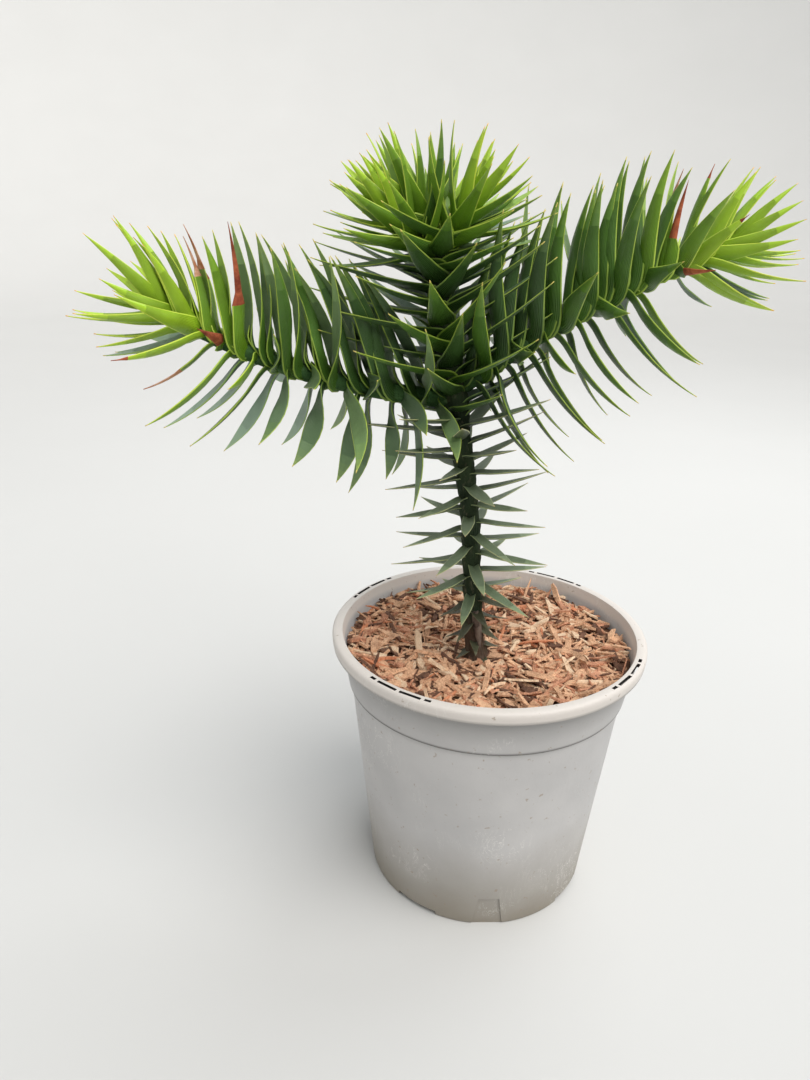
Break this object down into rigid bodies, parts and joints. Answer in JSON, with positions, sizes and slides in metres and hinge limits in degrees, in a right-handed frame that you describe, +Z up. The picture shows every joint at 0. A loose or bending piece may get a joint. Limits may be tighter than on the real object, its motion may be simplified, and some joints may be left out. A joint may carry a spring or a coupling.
{
  "type": "potted monkey puzzle tree",
  "caption": "Young monkey puzzle tree: a leaning trunk, spreading boughs and a crown of short shoots set with stiff pointed leaves, in a round plastic pot topped with bark mulch.",
  "frame": {"origin": "middle of the pot's flat underside", "axes": "+Z up along the pot's axis, +X to the right and +Y away from the viewer as in the picture"},
  "size_m": [0.2546, 0.13, 0.3031],
  "materials": {
    "pot": "matt moulded plastic, taupe, scuffed",
    "compost": "dark damp potting compost",
    "bark_mulch": "rough shredded bark, reddish tan",
    "trunk": "rough grey-brown and green bark",
    "boughs": "green young bark",
    "trunk_leaves": "dull blue-green leaves",
    "leader_leaves": "leathery dark green leaves with pale edges",
    "bough_leaves": "leathery green leaves with pale edges",
    "crown_leaves": "satin fresh yellow-green leaves"
  },
  "bodies": {
    "root": {"pot": "pot", "compost": "compost", "bark_mulch": "bark_mulch", "trunk": "trunk", "left_bough": "boughs", "right_bough": "boughs", "left_shoot": "boughs", "right_shoot": "boughs", "rear_shoot": "boughs", "middle_shoot": "boughs", "trunk_leaves": "trunk_leaves", "leader_leaves": "leader_leaves", "left_bough_leaves": "bough_leaves", "right_bough_leaves": "bough_leaves", "left_crown_leaves": "crown_leaves", "right_crown_leaves": "crown_leaves", "rear_crown_leaves": "crown_leaves", "middle_crown_leaves": "crown_leaves"}
  },
  "joints": []
}
